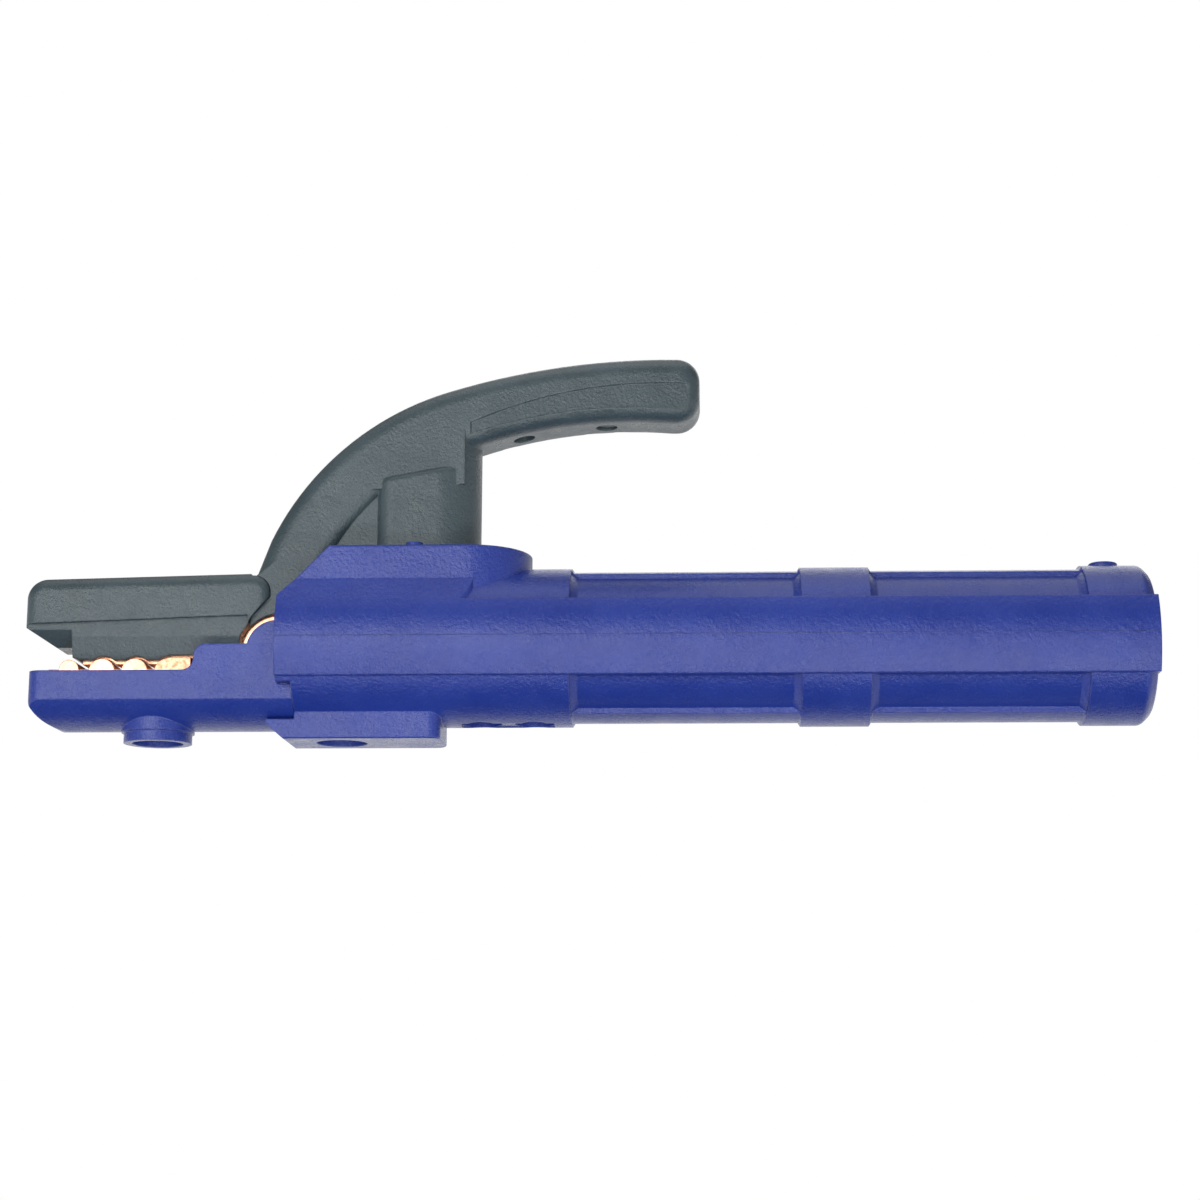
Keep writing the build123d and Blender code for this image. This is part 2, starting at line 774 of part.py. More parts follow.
# Band along the side of the grip, between the crown and the underside
def panel_profile(plane):
    panel_mid_x = (panel_front_x + panel_rear_x) / 2
    top_mid_z = crown_z(panel_mid_x) - panel_top_drop
    foot_xs = (panel_front_x, panel_mid_x, panel_rear_x)
    foot = [(x, grip_under_z(x, panel_foot_rise)) for x in foot_xs]
    with BuildSketch(plane) as panel:
        with BuildLine():
            top = ThreePointArc(
                (panel_front_x, crown_z(panel_front_x) - panel_front_drop),
                (panel_mid_x, top_mid_z),
                (panel_rear_x, crown_z(panel_rear_x) - panel_top_drop),
            )
            ThreePointArc(*foot)
            Line(foot[0], top @ 0)
            Line(foot[2], top @ 1)
        make_face()
    return panel.sketch


# Thin groove along the lower edge of that band
def groove_profile(plane):
    centre = (grip_under_x, grip_under_top_z - grip_under_radius)
    radius = grip_under_radius + panel_foot_rise
    with BuildSketch(plane) as groove:
        with Locations(centre):
            Circle(radius + groove_width)
            Circle(radius, mode=Mode.SUBTRACT)
        with Locations(((panel_front_x + panel_rear_x) / 2, grip_under_top_z)):
            Rectangle(panel_rear_x - panel_front_x, 2 * panel_front_drop, mode=Mode.INTERSECT)
    return groove.sketch


# Column of the spring: flat sides, a round rear that runs up to the grip, a sloping ledge, and a
# foot that clears the platform
with BuildPart() as column:
    with BuildSketch() as column_plan:
        centre_x = column_rear_x - column_half_width
        with Locations((centre_x, 0)):
            Circle(column_half_width)
        with Locations(((column_front_x + centre_x) / 2, 0)):
            Rectangle(centre_x - column_front_x, 2 * column_half_width)
        fillet(column_plan.vertices().group_by(Axis.X)[0], radius=column_corner_round)
    extrude(amount=far)
    with BuildSketch(Plane.XZ):
        with BuildLine():
            Polyline(
                (column_front_x, sweep_line_z(column_front_x)),
                (column_rear_x, sweep_line_z(column_rear_x)),
                (column_rear_x, column_top_z),
                (column_ledge_x, column_top_z),
                (column_ledge_x, column_ledge_z),
                (column_front_x, column_front_top_z),
                close=True,
            )
        make_face()
    extrude(amount=column_half_width, both=True, mode=Mode.INTERSECT)
    ledge = column.faces().filter_by_position(Axis.Z, column_front_top_z, column_ledge_z)
    fillet(ledge.sort_by(SortBy.AREA)[-1].edges().sort_by(Axis.X)[:-1], radius=column_top_round)

with BuildPart() as lever_insulator:
    extrude(arm_profile(), amount=arm_half_width, both=True)
    arcs = lever_insulator.edges().filter_by(GeomType.CIRCLE)
    fillet(arcs.filter_by(lambda arc: abs(arc.radius - arm_inner_radius) < 0.1), radius=arm_under_round)
    arcs = lever_insulator.edges().filter_by(GeomType.CIRCLE)
    fillet(arcs.filter_by(lambda arc: abs(arc.radius - crown_radius) < 0.1), radius=arm_top_round)
    groove_depth = panel_depth + groove_width
    for side in (-1, 1):
        side_plane = Plane.XZ.offset(side * arm_half_width)
        extrude(panel_profile(side_plane), amount=panel_depth, both=True, mode=Mode.SUBTRACT)
        extrude(groove_profile(side_plane), amount=groove_depth, both=True, mode=Mode.SUBTRACT)
    extrude(foot_profile(arm_foot_rear_x), amount=arm_half_width, both=True)
    extrude(foot_profile(column_rear_x), amount=web_half_width, both=True)
    add(column.part)
    # The core is moulded in, and the spring works in a blind hole
    extrude(core_profile(), amount=core_half_width, both=True, mode=Mode.SUBTRACT)
    column_low_z = sweep_line_z(spring_x)
    with Locations((spring_x, 0, column_low_z)):
        Hole(radius=spring_cavity_radius, depth=spring_cavity_top_z - column_low_z)
    # Holes under the grip
    with Locations(*[(x, 0, grip_under_z(x)) for x in (grip_screw_x, grip_plug_x)]):
        Hole(radius=grip_hole_radius, depth=core_skin + grip_hole_overrun)
save(lever_insulator.part, "lever_insulator")


# ---------------------------------------------------------------- upper jaw insulator

# Side view of the cap over the upper jaw bar, down to the skirts
def upper_jaw_side():
    skirt_rear_x = pivot_x - ear_radius - lever_gap
    with BuildSketch(Plane.XZ) as side_view:
        with BuildLine():
            Polyline(
                (upper_front_x, upper_nose_top_z),
                (upper_front_x, upper_top_front_z),
                (upper_cheek_rear_x, upper_top_rear_z),
                (upper_cheek_rear_x, upper_cheek_foot_z),
                (upper_rear_x + upper_cheek_lap, upper_step_rear_z),
                (skirt_rear_x, upper_skirt_taper_z),
                (skirt_rear_x, upper_skirt_low_z),
                (upper_skirt_front_x, upper_skirt_low_z),
                (upper_skirt_front_x, upper_nose_z),
                (upper_nose_x, upper_nose_z),
                close=True,
            )
        make_face()
        front_corners = side_view.vertices().group_by(Axis.X)[0]
        fillet(front_corners.sort_by(Axis.Y)[-1], radius=upper_round)
        rear_corners = side_view.vertices().group_by(Axis.X)[-1]
        fillet(rear_corners.sort_by(Axis.Y)[-1], radius=upper_rear_round)
    return side_view.sketch


with BuildPart() as upper_jaw_insulator:
    extrude(upper_jaw_side(), amount=upper_half_width, both=True)
    # Cross-section: a step at the sides and tapered skirts
    with BuildSketch(Plane.YZ.offset(upper_front_x)):
        with BuildLine():
            Polyline(
                (0, far),
                (-upper_half_width, far),
                (-upper_half_width, upper_skirt_taper_z),
                (-upper_skirt_half_width, upper_skirt_taper_z),
                (-upper_skirt_foot_half_width, upper_skirt_low_z),
                (0, upper_skirt_low_z),
                close=True,
            )
        make_face()
        mirror(about=Plane.YZ)
    extrude(amount=far, mode=Mode.INTERSECT)
    # The step under each side rises towards the rear
    with BuildSketch(Plane.XZ.offset(upper_skirt_half_width)):
        with BuildLine():
            Polyline(
                (upper_front_x, upper_step_front_z),
                (upper_rear_x, upper_step_rear_z),
                (upper_rear_x, upper_skirt_low_z),
                (upper_front_x, upper_skirt_low_z),
                close=True,
            )
        make_face()
    step_cut = extrude(amount=far, mode=Mode.SUBTRACT)
    mirror(step_cut, about=Plane.XZ, mode=Mode.SUBTRACT)
    # The nose narrows below the step
    with BuildSketch(Plane.YZ.offset(upper_front_x)):
        with BuildLine():
            Polyline(
                (-upper_half_width, upper_step_front_z),
                (-upper_nose_half_width, upper_nose_z),
                (-upper_half_width, upper_nose_z),
                close=True,
            )
        make_face()
        mirror(about=Plane.YZ)
    extrude(amount=upper_skirt_front_x - upper_front_x, mode=Mode.SUBTRACT)
    top_face = upper_jaw_insulator.faces().sort_by(Axis.Z)[-1]
    top_sides = top_face.edges().filter_by(GeomType.LINE).sort_by(SortBy.LENGTH)[-2:]
    fillet(top_sides, radius=upper_edge_round)
    # Slot between the cheeks, for the foot of the arm
    with Locations((upper_rear_x + far / 2, 0, 0)):
        Box(far, 2 * upper_cheek_inner, far, mode=Mode.SUBTRACT)
    # Pocket of the jaw bar, room for the teeth, and the screw recess
    bar_room = jaw_bar_half_width + upper_bar_clearance
    with BuildSketch(Plane.XY.offset(jaw_bar_top_z + upper_bar_clearance)):
        with Locations((jaw_bar_front_x - upper_bar_clearance + far / 2, 0)):
            Rectangle(far, 2 * bar_room)
    extrude(amount=-far, mode=Mode.SUBTRACT)
    extrude(
        teeth_profile(upper_skirt_gap, pivot_x), amount=upper_half_width, both=True, mode=Mode.SUBTRACT
    )
    with Locations(Plane((boss_x, 0, upper_screw_recess_z + far))):
        CounterBoreHole(
            radius=jaw_screw_radius + screw_hole_clearance,
            counter_bore_radius=jaw_screw_recess_radius,
            counter_bore_depth=far,
            depth=far + upper_screw_recess_z - jaw_bar_top_z,
        )
save(upper_jaw_insulator.part, "upper_jaw_insulator")


# ---------------------------------------------------------------- screws, pin and sleeve

# Screw with a hex socket, standing on its head's outer face at z = 0 with the shank towards +Z
def cap_screw(head_radius, head_height, shank_radius, shank_length, hex_radius):
    with BuildPart() as screw:
        with BuildSketch():
            Circle(head_radius)
        extrude(amount=head_height)
        with BuildSketch(Plane.XY.offset(head_height)):
            Circle(shank_radius)
        extrude(amount=shank_length)
        rim = screw.edges().filter_by(GeomType.CIRCLE).sort_by(Axis.Z)[0]
        fillet(rim, radius=screw_rim_round)
        with BuildSketch():
            RegularPolygon(hex_radius, 6)
        extrude(amount=hex_depth, mode=Mode.SUBTRACT)
    return screw.part


def washer(outer_radius, hole_radius, thickness):
    with BuildPart() as ring:
        with BuildSketch():
            Circle(outer_radius)
            Circle(hole_radius, mode=Mode.SUBTRACT)
        extrude(amount=thickness)
    return ring.part


lower_seat_z = boss_bottom_z + jaw_screw_recess_depth
jaw_stack = jaw_screw_head_height + jaw_screw_washer_thickness
jaw_screw = cap_screw(
    jaw_screw_head_radius,
    jaw_screw_head_height,
    jaw_screw_radius,
    conductor_bottom_z + jaw_screw_reach - lower_seat_z + jaw_screw_washer_thickness,
    jaw_screw_hex_radius,
)
jaw_washer = washer(
    jaw_screw_washer_radius, jaw_screw_radius + screw_hole_clearance, jaw_screw_washer_thickness
)
lower_washer_z = lower_seat_z - jaw_screw_washer_thickness

with BuildPart() as lower_jaw_screw:
    add(Pos(boss_x, 0, lower_seat_z - jaw_stack) * jaw_screw)
save(lower_jaw_screw.part, "lower_jaw_screw")

with BuildPart() as lower_jaw_washer:
    add(Pos(boss_x, 0, lower_washer_z) * jaw_washer)
save(lower_jaw_washer.part, "lower_jaw_washer")

upper_screw = cap_screw(
    jaw_screw_head_radius,
    jaw_screw_head_height,
    jaw_screw_radius,
    upper_screw_recess_z + jaw_screw_washer_thickness - jaw_bar_top_z + jaw_screw_reach,
    jaw_screw_hex_radius,
)

with BuildPart() as upper_jaw_screw:
    add(Pos(boss_x, 0, upper_screw_recess_z + jaw_stack) * Rot(180, 0, 0) * upper_screw)
save(upper_jaw_screw.part, "upper_jaw_screw")

with BuildPart() as upper_jaw_washer:
    add(Pos(boss_x, 0, upper_screw_recess_z) * jaw_washer)
save(upper_jaw_washer.part, "upper_jaw_washer")

handle_seat_z = foot_z + handle_screw_recess_depth
block_screw = cap_screw(
    handle_screw_head_radius,
    handle_screw_head_height,
    handle_screw_radius,
    conductor_bottom_z + handle_screw_reach - handle_seat_z,
    handle_screw_hex_radius,
)

with BuildPart() as handle_screw:
    add(Pos(handle_screw_x, 0, handle_seat_z - handle_screw_head_height) * block_screw)
save(handle_screw.part, "handle_screw")

with BuildPart() as clamp_screws:
    clamp_top_z = socket_axis_z - socket_bore_radius
    for x in clamp_screw_xs:
        with BuildSketch(Plane.XY.offset(clamp_top_z - clamp_screw_length)):
            with Locations((x, 0)):
                Circle(clamp_screw_radius)
        extrude(amount=clamp_screw_length)
        with BuildSketch(Plane.XY.offset(clamp_top_z - clamp_screw_length)):
            with Locations((x, 0)):
                RegularPolygon(clamp_screw_hex_radius, 6)
        extrude(amount=hex_depth, mode=Mode.SUBTRACT)
save(clamp_screws.part, "clamp_screws")

with BuildPart() as cable_sleeve:
    with BuildSketch(Plane.YZ.offset(socket_rear_x)):
        with Locations((0, socket_axis_z)):
            Circle(socket_bore_radius - sleeve_clearance)
            Circle(socket_bore_radius - sleeve_clearance - sleeve_wall, mode=Mode.SUBTRACT)
    extrude(amount=-socket_bore_depth)
save(cable_sleeve.part, "cable_sleeve")

with BuildPart() as cable_lock_screw:
    with BuildSketch(Plane.XY.offset(lock_seat_z)):
        with Locations((lock_screw_x, 0)):
            Circle(lock_head_radius)
    extrude(amount=lock_head_height)
    head_rim = cable_lock_screw.edges().sort_by(Axis.Z)[-1]
    fillet(head_rim, radius=screw_rim_round)
    with BuildSketch(Plane.XY.offset(lock_seat_z)):
        with Locations((lock_screw_x, 0)):
            Circle(lock_screw_radius)
    extrude(amount=cable_bore_radius - lock_seat_z)
    with Locations((lock_screw_x, 0, lock_seat_z + lock_head_height)):
        Box(2 * lock_head_radius, lock_slot_width, lock_slot_width, mode=Mode.SUBTRACT)
save(cable_lock_screw.part, "cable_lock_screw")

with BuildPart() as pivot_pin:
    with BuildSketch(Plane.XZ):
        with Locations((pivot_x, pivot_z)):
            Circle(pin_radius)
    extrude(amount=conductor_half_width, both=True)
save(pivot_pin.part, "pivot_pin")

with BuildPart() as pivot_washers:
    washer_middle = (core_half_width + ear_gap_half_width) / 2
    for side in (-1, 1):
        with BuildSketch(Plane.XZ.offset(side * washer_middle)):
            with Locations((pivot_x, pivot_z)):
                Circle(washer_radius)
                Circle(pin_radius + pin_running_clearance, mode=Mode.SUBTRACT)
        extrude(amount=washer_thickness / 2, both=True)
save(pivot_washers.part, "pivot_washers")


# ---------------------------------------------------------------- spring and its seats

seat_bottom_z = platform_top_z - seat_recess
seat_top_z = seat_bottom_z + seat_thickness
cap_bottom_z = spring_cavity_top_z - cap_thickness

with BuildPart() as spring_seat:
    with BuildSketch(Plane.XY.offset(seat_bottom_z)):
        with Locations((spring_x, 0)):
            Circle(seat_radius)
    extrude(amount=seat_thickness)
    with BuildSketch(Plane.XY.offset(seat_top_z)):
        with Locations((spring_x, 0)):
            Circle(seat_post_radius)
    extrude(amount=seat_post_height)
save(spring_seat.part, "spring_seat")

with BuildPart() as spring_cap:
    with BuildSketch(Plane.XY.offset(spring_cavity_top_z)):
        with Locations((spring_x, 0)):
            Circle(seat_radius)
    extrude(amount=-cap_thickness)
    with BuildSketch(Plane.XY.offset(cap_bottom_z)):
        with Locations((spring_x, 0)):
            Circle(seat_post_radius)
    extrude(amount=-seat_post_height)
save(spring_cap.part, "spring_cap")

with BuildPart() as spring:
    coil_low_z = seat_top_z + spring_wire_radius + spring_end_gap
    coil_height = cap_bottom_z - seat_top_z - 2 * (spring_wire_radius + spring_end_gap)
    with BuildLine() as coil_path:
        Helix(
            pitch=coil_height / spring_turns,
            height=coil_height,
            radius=spring_mean_radius,
            center=(spring_x, 0, coil_low_z),
        )
    with BuildSketch(Plane(origin=coil_path.line @ 0, z_dir=coil_path.line % 0)):
        Circle(spring_wire_radius)
    sweep(path=coil_path.line, is_frenet=True)
save(spring.part, "spring")


# ---------------------------------------------------------------- fixings of the grip

grip_seat_z = grip_under_z(grip_screw_x, core_skin) - grip_screw_seat_drop
short_screw = cap_screw(
    grip_hole_radius - grip_hole_clearance,
    grip_screw_head_height,
    grip_screw_radius,
    grip_screw_seat_drop + grip_screw_bite,
    grip_screw_hex_radius,
)

with BuildPart() as grip_screw:
    add(Pos(grip_screw_x, 0, grip_seat_z - grip_screw_head_height) * short_screw)
save(grip_screw.part, "grip_screw")

with BuildPart() as grip_plug:
    with BuildSketch(Plane.XY.offset(grip_under_z(grip_plug_x) + grip_plug_recess)):
        with Locations((grip_plug_x, 0)):
            Circle(grip_hole_radius - grip_hole_clearance)
    extrude(amount=core_skin - grip_plug_recess - grip_plug_gap)
save(grip_plug.part, "grip_plug")
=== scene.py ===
import json
from math import cos, radians, sin

import bpy
from mathutils import Matrix, Vector


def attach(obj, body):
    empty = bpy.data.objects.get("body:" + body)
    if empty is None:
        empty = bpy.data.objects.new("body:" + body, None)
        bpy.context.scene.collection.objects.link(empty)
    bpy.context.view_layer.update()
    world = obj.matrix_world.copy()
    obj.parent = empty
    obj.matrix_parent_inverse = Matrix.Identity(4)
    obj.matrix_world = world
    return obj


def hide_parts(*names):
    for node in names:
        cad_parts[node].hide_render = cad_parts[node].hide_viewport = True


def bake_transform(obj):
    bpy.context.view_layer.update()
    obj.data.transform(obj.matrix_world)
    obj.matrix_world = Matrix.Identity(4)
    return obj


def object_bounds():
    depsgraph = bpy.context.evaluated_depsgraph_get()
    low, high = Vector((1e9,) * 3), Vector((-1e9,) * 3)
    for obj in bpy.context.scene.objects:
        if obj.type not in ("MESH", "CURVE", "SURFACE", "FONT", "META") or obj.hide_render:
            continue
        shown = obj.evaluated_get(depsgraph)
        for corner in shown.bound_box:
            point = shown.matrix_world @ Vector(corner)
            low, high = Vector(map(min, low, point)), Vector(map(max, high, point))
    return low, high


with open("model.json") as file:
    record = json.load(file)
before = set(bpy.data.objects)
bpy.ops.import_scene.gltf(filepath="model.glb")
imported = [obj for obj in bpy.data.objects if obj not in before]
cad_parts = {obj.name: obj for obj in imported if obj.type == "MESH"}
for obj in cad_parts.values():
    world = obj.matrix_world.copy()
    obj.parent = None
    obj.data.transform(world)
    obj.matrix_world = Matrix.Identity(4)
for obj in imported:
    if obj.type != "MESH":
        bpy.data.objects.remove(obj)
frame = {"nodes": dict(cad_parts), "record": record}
cad_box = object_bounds()

MM = 0.001


# ---------------------------------------------------------------- camera

# Seen from the side and from a little below, as a hand-held tool is held up to the eye
CAMERA_PLACE = Vector((-93.06, -510.18, -88.65)) * MM
CAMERA_YAW = 2.662
CAMERA_PITCH = 10.997
CAMERA_ROLL = -0.175
CAMERA_LENS = 72.12
CAMERA_SENSOR = 36
CAMERA_NEAR = 10 * MM


def show(obj):
    bpy.context.scene.collection.objects.link(obj)


def make_camera():
    yaw, pitch, roll = radians(CAMERA_YAW), radians(CAMERA_PITCH), radians(CAMERA_ROLL)
    ahead = Vector((-sin(yaw) * cos(pitch), cos(yaw) * cos(pitch), sin(pitch)))
    level = ahead.cross(Vector((0, 0, 1))).normalized()
    upright = level.cross(ahead)
    right = level * cos(roll) - upright * sin(roll)
    up = level * sin(roll) + upright * cos(roll)
    data = bpy.data.cameras.new("camera")
    data.lens = CAMERA_LENS
    data.sensor_width = CAMERA_SENSOR
    data.clip_start = CAMERA_NEAR
    camera = bpy.data.objects.new("camera", data)
    show(camera)
    axes = Matrix((right, up, -ahead)).transposed()
    camera.matrix_world = Matrix.Translation(CAMERA_PLACE) @ axes.to_4x4()
    bpy.context.scene.camera = camera


# ---------------------------------------------------------------- node helpers


class Nodes:
    """A node tree in the making. An input is a socket to link from, a number, or a colour of three."""

    def __init__(self, tree):
        self.tree = tree
        tree.nodes.clear()

    def add(self, kind, inputs=None, **settings):
        node = self.tree.nodes.new(kind)
        for name, value in settings.items():
            setattr(node, name, value)
        for name, value in (inputs or {}).items():
            if isinstance(value, bpy.types.NodeSocket):
                self.tree.links.new(value, node.inputs[name])
            elif isinstance(value, tuple):
                node.inputs[name].default_value = (*value, 1)
            else:
                node.inputs[name].default_value = value
        return node

    def noise(self, place, scale, detail, rough, distortion=0.0):
        inputs = {
            "Vector": place,
            "Scale": scale,
            "Detail": detail,
            "Roughness": rough,
            "Distortion": distortion,
        }
        return self.add("ShaderNodeTexNoise", inputs).outputs["Fac"]

    def ramp(self, fac, stops):
        """Greys along a ramp: each stop is a place and a value."""
        node = self.add("ShaderNodeValToRGB", {"Fac": fac})
        points = node.color_ramp.elements
        while len(points) < len(stops):
            points.new(0.5)
        for point, (at, value) in zip(points, stops):
            point.position = at
            point.color = (value, value, value, 1)
        return node.outputs["Color"]

    def mix(self, fac, first, second):
        # Sockets 6 and 7 are the colour pair of this node, and output 2 is its colour
        node = self.add("ShaderNodeMix", {0: fac, 6: first, 7: second}, data_type="RGBA")
        return node.outputs[2]

    def math(self, operation, first, second):
        return self.add("ShaderNodeMath", {0: first, 1: second}, operation=operation).outputs[0]

    def bump(self, height, strength, distance, normal):
        inputs = {"Height": height, "Strength": strength, "Distance": distance, "Normal": normal}
        return self.add("ShaderNodeBump", inputs).outputs["Normal"]

    def edges(self, radius):
        """A rounded normal, and how far it leans from the true one: 0 on flats, more on sharp edges."""
        soft = self.add("ShaderNodeBevel", {"Radius": radius}, samples=6).outputs["Normal"]
        true = self.add("ShaderNodeNewGeometry").outputs["Normal"]
        lean = self.add("ShaderNodeVectorMath", {0: soft, 1: true}, operation="DOT_PRODUCT")
        return soft, self.math("SUBTRACT", 1.0, lean.outputs["Value"])


def new_material(name):
    material = bpy.data.materials.new(name)
    material.use_nodes = True
    return material, Nodes(material.node_tree)


# ---------------------------------------------------------------- materials

# Noise scales are per metre: 60 gives clouds about 17 mm across, 1500 a grain under 1 mm
PLASTIC_EDGE = 0.5 * MM
METAL_EDGE = 0.3 * MM


def moulded_plastic(name, deep, pale, worn_and_highlight, roughness):
    """Moulded plastic: cloudy colour, a fine orange-peel skin and paler edges, partly rubbed wear and
    partly a painted highlight.
    """
    material, nodes = new_material(name)
    place = nodes.add("ShaderNodeTexCoord").outputs["Object"]
    soft, edge = nodes.edges(PLASTIC_EDGE)
    # Colour: clouds of two tones, and paler edges where the scuffs are, partly wear and partly a
    # painted highlight
    cloud = nodes.noise(place, 60, 4, 0.6)
    tone = nodes.mix(nodes.ramp(cloud, [(0.35, 0), (0.7, 1)]), deep, pale)
    scuffs = nodes.ramp(nodes.noise(place, 260, 5, 0.7, 0.6), [(0.42, 0), (0.62, 1)])
    # Pale edges: partly rubbed wear, partly a painted highlight where the edges catch the light
    rubbed_and_highlight = nodes.math("MULTIPLY", nodes.ramp(edge, [(0.02, 0), (0.25, 1)]), scuffs)
    colour = nodes.mix(nodes.math("MULTIPLY", rubbed_and_highlight, 0.5), tone, worn_and_highlight)
    # Gloss that varies from place to place
    smears = nodes.noise(place, 180, 4, 0.65)
    rough = nodes.ramp(smears, [(0.3, roughness - 0.08), (0.7, roughness + 0.08)])
    # Skin: a fine grain, and the broader lumps of orange peel
    peel = nodes.bump(nodes.noise(place, 1500, 3, 0.7), 1.0, 0.15 * MM, soft)
    peel = nodes.bump(nodes.noise(place, 300, 3, 0.6), 0.45, 0.25 * MM, peel)
    inputs = {"Base Color": colour, "Roughness": rough, "Normal": peel, "IOR": 1.5}
    shader = nodes.add("ShaderNodeBsdfPrincipled", inputs)
    nodes.add("ShaderNodeOutputMaterial", {"Surface": shader.outputs[0]})
    return material


def metal(name, bright, dark, roughness, grain_scale, depth):
    """Cast or drawn metal: tarnish in the hollows of the grain and polished edges."""
    material, nodes = new_material(name)
    place = nodes.add("ShaderNodeTexCoord").outputs["Object"]
    soft, edge = nodes.edges(METAL_EDGE)
    grain = nodes.noise(place, grain_scale, 4, 0.65, 0.3)
    patches = nodes.noise(place, 120, 3, 0.6)
    hollows = nodes.ramp(grain, [(0.45, 0), (0.65, 1)])
    tarnish = nodes.math("MULTIPLY", hollows, nodes.ramp(patches, [(0.4, 0.2), (0.6, 1)]))
    polished = nodes.ramp(edge, [(0.03, 0), (0.3, 1)])
    tarnish = nodes.math("MULTIPLY", tarnish, nodes.math("SUBTRACT", 1.0, polished))
    colour = nodes.mix(tarnish, bright, dark)
    rough = nodes.ramp(patches, [(0.3, roughness - 0.08), (0.7, roughness + 0.12)])
    skin = nodes.bump(grain, 0.3, depth, soft)
    inputs = {"Base Color": colour, "Roughness": rough, "Normal": skin, "Metallic": 1.0}
    shader = nodes.add("ShaderNodeBsdfPrincipled", inputs)
    nodes.add("ShaderNodeOutputMaterial", {"Surface": shader.outputs[0]})
    return material


# Slot: deep colour, pale colour, edge colour (wear and painted highlight), roughness
PLASTICS = {
    "blue_plastic": ((0.014, 0.038, 0.295), (0.024, 0.054, 0.350), (0.22, 0.26, 0.54), 0.25),
    "grey_plastic": ((0.046, 0.072, 0.084), (0.068, 0.100, 0.114), (0.26, 0.31, 0.33), 0.3),
    "nylon": ((0.020, 0.020, 0.021), (0.034, 0.034, 0.035), (0.10, 0.10, 0.10), 0.5),
}

# Slot: bright metal, tarnish, roughness, scale of the grain, depth of the grain
METALS = {
    "copper_alloy": ((0.86, 0.46, 0.29), (0.40, 0.15, 0.08), 0.3, 900, 0.2 * MM),
    "brass": ((0.80, 0.62, 0.30), (0.40, 0.27, 0.10), 0.3, 1400, 0.05 * MM),
    "steel": ((0.62, 0.62, 0.63), (0.28, 0.27, 0.26), 0.32, 1400, 0.05 * MM),
    "spring_steel": ((0.36, 0.36, 0.38), (0.14, 0.13, 0.13), 0.35, 1600, 0.04 * MM),
}


def make_materials():
    materials = {slot: moulded_plastic(slot, *values) for slot, values in PLASTICS.items()}
    materials.update({slot: metal(slot, *values) for slot, values in METALS.items()})
    return materials


def dress_nodes(materials):
    for subpart in frame["record"]["subparts"]:
        mesh = frame["nodes"][subpart["node"]].data
        mesh.materials.clear()
        mesh.materials.append(materials[subpart["material_slot"]])


# ---------------------------------------------------------------- mould marks

# Ridge along the middle of each side rail, in mm: its ends, its foot inside the rail, its crest
RIDGE_FRONT_X = -184.2
RIDGE_REAR_X = -0.4
RIDGE_ROOT_Y = 17.5
RIDGE_CREST_Y = 18.0
RIDGE_HALF_HEIGHT = 0.22


def make_parting_lines(blue):
    """The fine ridge that the mould's two halves leave along the middle of each side rail."""
    points, faces = [], []
    for side in (-1, 1):
        first = len(points)
        for x in (RIDGE_FRONT_X, RIDGE_REAR_X):
            points += [
                (x, side * RIDGE_ROOT_Y, -RIDGE_HALF_HEIGHT),
                (x, side * RIDGE_CREST_Y, 0),
                (x, side * RIDGE_ROOT_Y, RIDGE_HALF_HEIGHT),
            ]
        a, b, c, d, e, f = range(first, first + 6)
        around = [(a, b, e, d), (b, c, f, e), (c, a, d, f), (a, c, b), (d, e, f)]
        faces += around if side > 0 else [face[::-1] for face in around]
    mesh = bpy.data.meshes.new("parting_lines")
    mesh.from_pydata([[value * MM for value in point] for point in points], [], faces)
    mesh.materials.append(blue)
    lines = bpy.data.objects.new("parting_lines", mesh)
    show(lines)
    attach(lines, "holder")


# ---------------------------------------------------------------- spring


def make_spring_coil():
    """The spring as a piece of its own: a copy of the spring's mesh in its place, shown instead of the
    spring from the model.
    """
    node = frame["nodes"]["spring"]
    mesh = node.data.copy()
    mesh.transform(node.matrix_world)
    coil = bpy.data.objects.new("spring_coil", mesh)
    show(coil)
    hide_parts("spring")
    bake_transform(coil)


# ---------------------------------------------------------------- stage and light

FLOOR_HALF = 3.0
FLOOR_PAINT = (0.90, 0.90, 0.90)
FLOOR_LIFT = (0.36, 0.36, 0.36)

# Strength of the world's light on the object
AMBIENT = 0.3

# What reflections see, from straight down at 0 to straight up at 1, with the horizon at 0.5
MIRRORED = [(0.04, 0.02), (0.16, 1.0), (0.56, 1.0), (0.68, 0.2), (0.86, 0.2), (0.97, 1.0)]

# Lamp: place from the object's middle, size, power
LAMPS = {
    "front": ((-0.3, -0.75, 0.12), (0.7, 0.3), 2.3),
    "strip": ((0.0, -0.8, -0.17), (1.3, 0.035), 1.4),
    "low": ((0.1, -0.55, -0.45), (0.9, 0.14), 1.6),
    "top": ((0.0, -0.15, 0.8), (0.6, 0.4), 0.5),
    "back": ((0.1, 0.6, 0.4), (0.6, 0.4), 0.95),
}


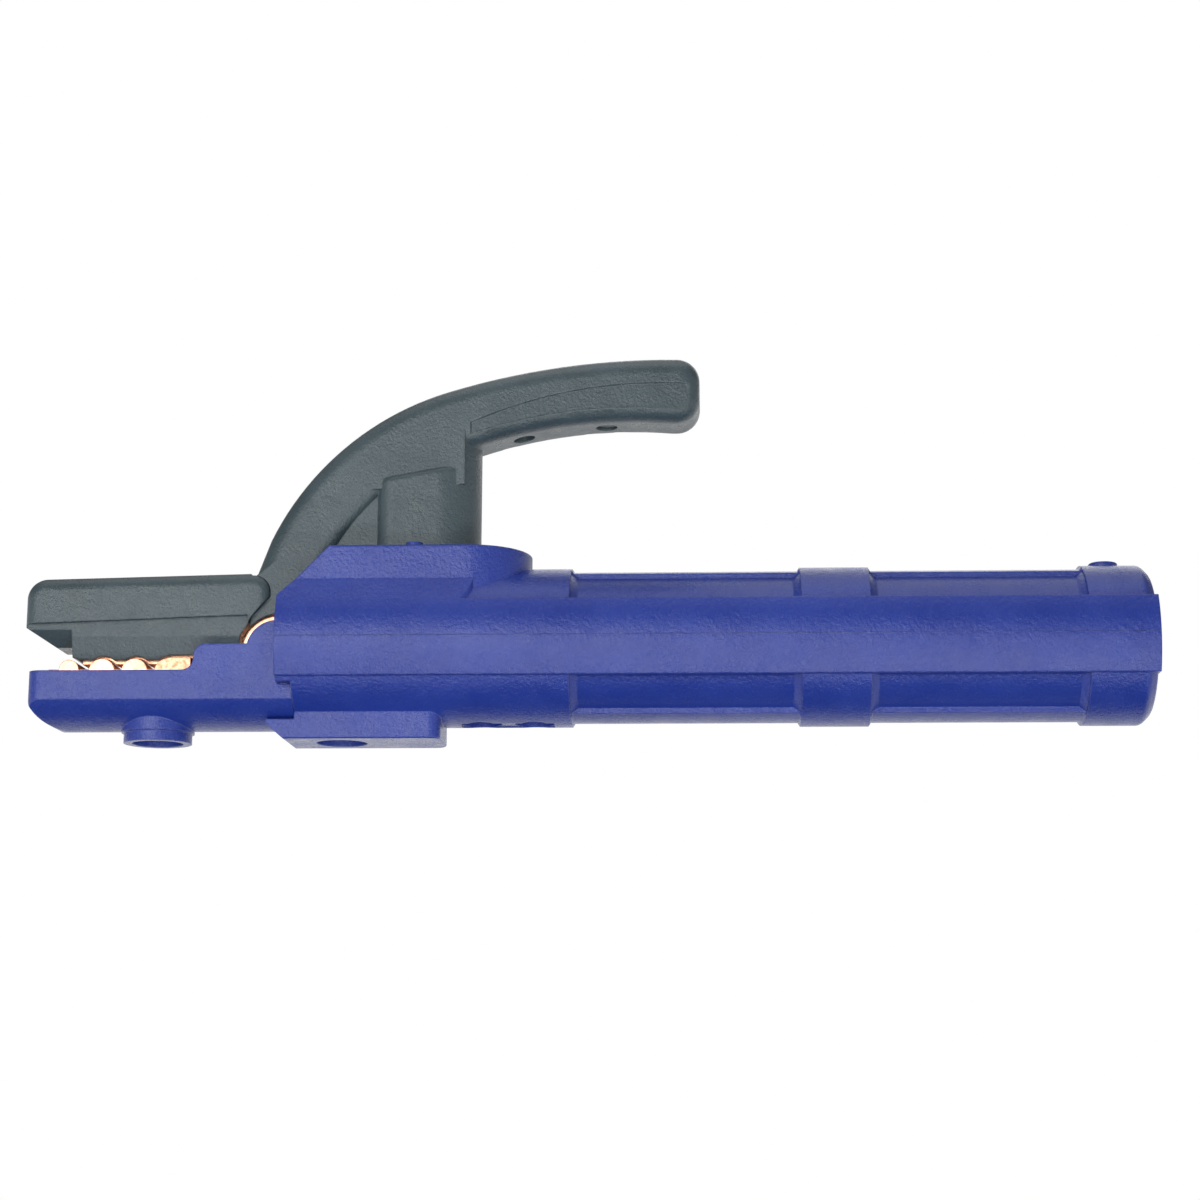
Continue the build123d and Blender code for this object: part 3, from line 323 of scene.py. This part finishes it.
def make_floor(low):
    """A pale floor under the holder. It is clear from below, and never shades the underside."""
    mesh = bpy.data.meshes.new("floor")
    half = FLOOR_HALF
    corners = [(-half, -half, 0), (half, -half, 0), (half, half, 0), (-half, half, 0)]
    mesh.from_pydata(corners, [], [(0, 1, 2, 3)])
    floor = bpy.data.objects.new("floor", mesh)
    show(floor)
    floor.location.z = low.z
    floor.visible_diffuse = False
    floor.visible_glossy = False
    floor.visible_transmission = False
    floor.visible_shadow = False
    material, nodes = new_material("floor")
    paint = nodes.add("ShaderNodeBsdfDiffuse", {"Color": FLOOR_PAINT}).outputs[0]
    # To the camera the floor is lifted towards white
    direct = nodes.add("ShaderNodeLightPath").outputs["Is Camera Ray"]
    lift = nodes.add("ShaderNodeEmission", {"Color": FLOOR_LIFT, "Strength": direct}).outputs[0]
    paint = nodes.add("ShaderNodeAddShader", {0: paint, 1: lift}).outputs[0]
    clear = nodes.add("ShaderNodeBsdfTransparent").outputs[0]
    under = nodes.add("ShaderNodeNewGeometry").outputs["Backfacing"]
    seen = nodes.add("ShaderNodeMixShader", {0: under, 1: paint, 2: clear}).outputs[0]
    nodes.add("ShaderNodeOutputMaterial", {"Surface": seen})
    mesh.materials.append(material)


def make_world():
    """White to the camera. Reflections see white round the horizon and overhead, and less between."""
    world = bpy.data.worlds.new("world")
    bpy.context.scene.world = world
    world.use_nodes = True
    nodes = Nodes(world.node_tree)
    path = nodes.add("ShaderNodeLightPath").outputs
    direction = nodes.add("ShaderNodeTexCoord").outputs["Generated"]
    height = nodes.add("ShaderNodeSeparateXYZ", {"Vector": direction}).outputs["Z"]
    height = nodes.add("ShaderNodeMapRange", {"Value": height, "From Min": -1.0}).outputs[0]
    seen = nodes.math("MAXIMUM", path["Is Camera Ray"], path["Is Transmission Ray"])
    mirrored = nodes.ramp(height, MIRRORED)
    strength = nodes.mix(path["Is Glossy Ray"], (AMBIENT, AMBIENT, AMBIENT), mirrored)
    strength = nodes.mix(seen, strength, (1.0, 1.0, 1.0))
    back = nodes.add("ShaderNodeBackground", {"Color": strength, "Strength": 1.0}).outputs[0]
    nodes.add("ShaderNodeOutputWorld", {"Surface": back})


def make_lights(low, high):
    """Soft panels: three in front, above, level with and below the eye, and one over and one behind."""
    middle = (low + high) / 2
    for name, (offset, size, power) in LAMPS.items():
        data = bpy.data.lights.new(name, "AREA")
        data.shape = "RECTANGLE"
        data.size, data.size_y = size
        data.energy = power
        lamp = bpy.data.objects.new(name, data)
        show(lamp)
        lamp.location = middle + Vector(offset)
        lamp.rotation_euler = (middle - lamp.location).to_track_quat("-Z", "Y").to_euler()


# ---------------------------------------------------------------- the scene

low, high = Vector(cad_box[0]), Vector(cad_box[1])
bpy.context.scene.view_settings.view_transform = "Standard"
make_camera()
make_world()
make_lights(low, high)
make_floor(low)
materials = make_materials()
dress_nodes(materials)
make_parting_lines(materials["blue_plastic"])
make_spring_coil()
